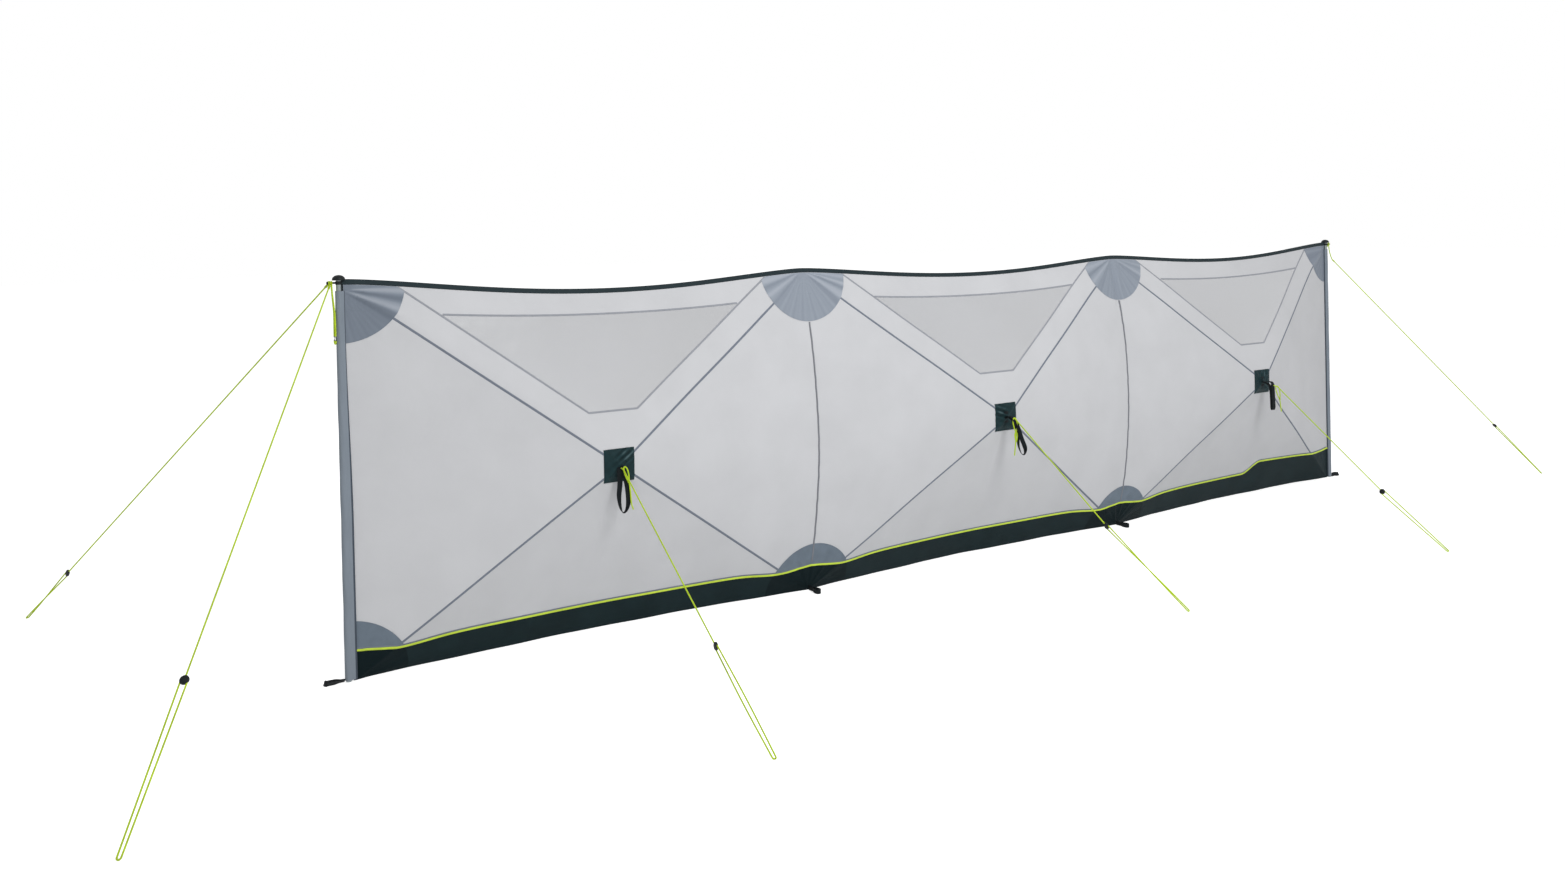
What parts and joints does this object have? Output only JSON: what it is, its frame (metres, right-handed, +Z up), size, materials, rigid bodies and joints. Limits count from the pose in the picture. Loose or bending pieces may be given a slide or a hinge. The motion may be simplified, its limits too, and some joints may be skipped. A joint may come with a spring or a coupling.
{
  "type": "beach windbreak",
  "caption": "Beach windbreak of pop-up cloth bays in a row, each with a hub, sprung rods and a smoked window, held up by end poles, peg loops and guy lines.",
  "frame": {"origin": "middle of the left end pole's foot, on the ground", "axes": "+X along the wall to the right pole, +Y to the back of the wall, +Z up"},
  "size_m": [7.8064, 3.084, 1.448],
  "materials": {
    "panel_cloth": "light grey coated polyester, fine weave, matte",
    "window_film": "smoked clear film, soft gloss",
    "mud_cloth": "dark coated polyester, matte",
    "piping": "lime piping, woven cover",
    "binding": "dark woven binding tape",
    "patch_cloth": "slate grey ripstop reinforcement",
    "webbing": "dark ribbed webbing",
    "black_plastic": "moulded, fine grain",
    "rod": "grey glass fibre",
    "pole": "zinc coated tube",
    "sleeve_cloth": "grey sleeve cloth",
    "guy_line": "lime braided cord"
  },
  "bodies": {
    "root": {"left_top_panel": "panel_cloth", "left_pole_side_panel": "panel_cloth", "left_seam_side_panel": "panel_cloth", "left_bottom_panel": "panel_cloth", "middle_top_panel": "panel_cloth", "middle_left_panel": "panel_cloth", "middle_right_panel": "panel_cloth", "middle_bottom_panel": "panel_cloth", "right_top_panel": "panel_cloth", "right_seam_side_panel": "panel_cloth", "right_pole_side_panel": "panel_cloth", "right_bottom_panel": "panel_cloth", "left_window": "window_film", "middle_window": "window_film", "right_window": "window_film", "left_mudwall": "mud_cloth", "middle_mudwall": "mud_cloth", "right_mudwall": "mud_cloth", "piping": "piping", "top_binding": "binding", "left_end_patches": "patch_cloth", "first_seam_patches": "patch_cloth", "second_seam_patches": "patch_cloth", "right_end_patches": "patch_cloth", "hub_patches": "webbing", "rod_pockets": "webbing", "left_pull_strap": "webbing", "middle_pull_strap": "webbing", "right_pull_strap": "webbing", "left_peg_loop": "webbing", "first_seam_peg_loop": "webbing", "second_seam_peg_loop": "webbing", "right_peg_loop": "webbing", "hubs": "black_plastic", "left_cap": "black_plastic", "right_cap": "black_plastic", "runners": "black_plastic", "left_rods": "rod", "middle_rods": "rod", "right_rods": "rod", "left_pole": "pole", "right_pole": "pole", "left_sleeve": "sleeve_cloth", "right_sleeve": "sleeve_cloth", "left_end_guys": "guy_line", "right_end_guys": "guy_line", "hub_guys": "guy_line", "spare_line": "guy_line"}
  },
  "joints": []
}
